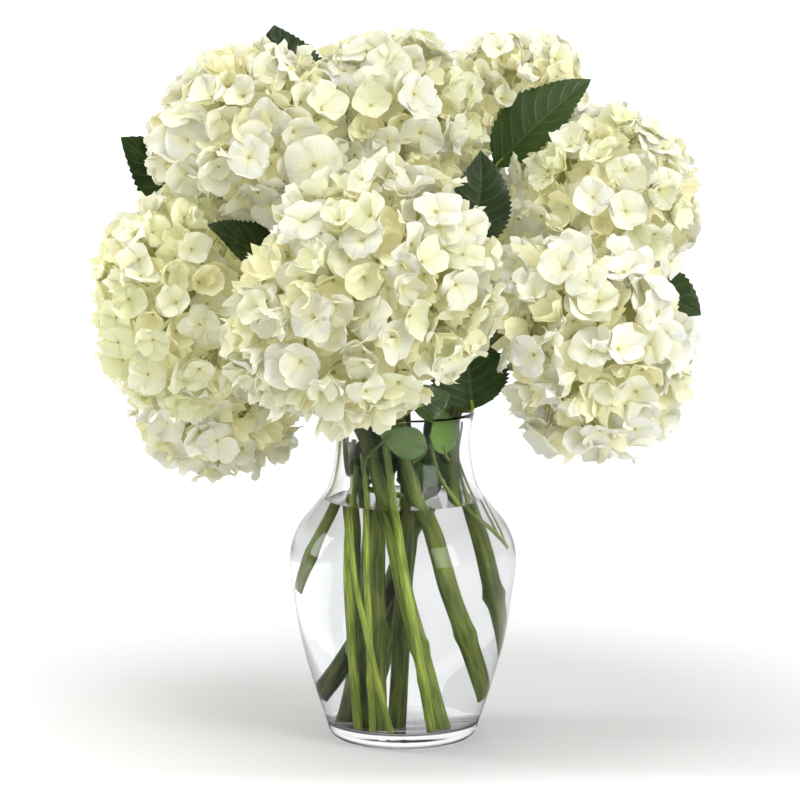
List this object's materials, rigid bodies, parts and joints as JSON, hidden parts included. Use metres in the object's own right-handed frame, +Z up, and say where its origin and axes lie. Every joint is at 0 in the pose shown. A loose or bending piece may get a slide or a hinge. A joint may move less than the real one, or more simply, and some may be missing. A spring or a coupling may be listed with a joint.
{
  "type": "vase of hydrangeas",
  "caption": "Clear glass vase with a drawn neck, filled with water, holding round white hydrangea heads on green stems with toothed leaves",
  "frame": {"origin": "centre of the vase's flat base, on the surface that it stands on", "axes": "+Z is up, -Y is the front as pictured, +X is to the right as seen from the front"},
  "size_m": [0.373, 0.356, 0.4311],
  "materials": {
    "glass": "clear polished glass",
    "water": "clear still water",
    "green": "green stems and leaves, satin",
    "petals": "creamy white petals, matt"
  },
  "bodies": {
    "root": {"vase": "glass", "water": "water", "stem_crown_left": "green", "stem_crown_middle": "green", "stem_crown_right": "green", "stem_right_upper": "green", "stem_right_lower": "green", "stem_front": "green", "stem_left": "green", "stem_back_left": "green", "stem_back": "green", "stem_side_left": "green", "stem_slim_left": "green", "stem_slim_middle": "green", "stem_slim_cross": "green", "stem_slim_right": "green", "stem_front_middle": "green", "bloom_crown_left": "petals", "bloom_crown_middle": "petals", "bloom_crown_right": "petals", "bloom_right_upper": "petals", "bloom_right_lower": "petals", "bloom_front": "petals", "bloom_left": "petals", "bloom_back_left": "petals", "bloom_back": "petals"}
  },
  "joints": []
}
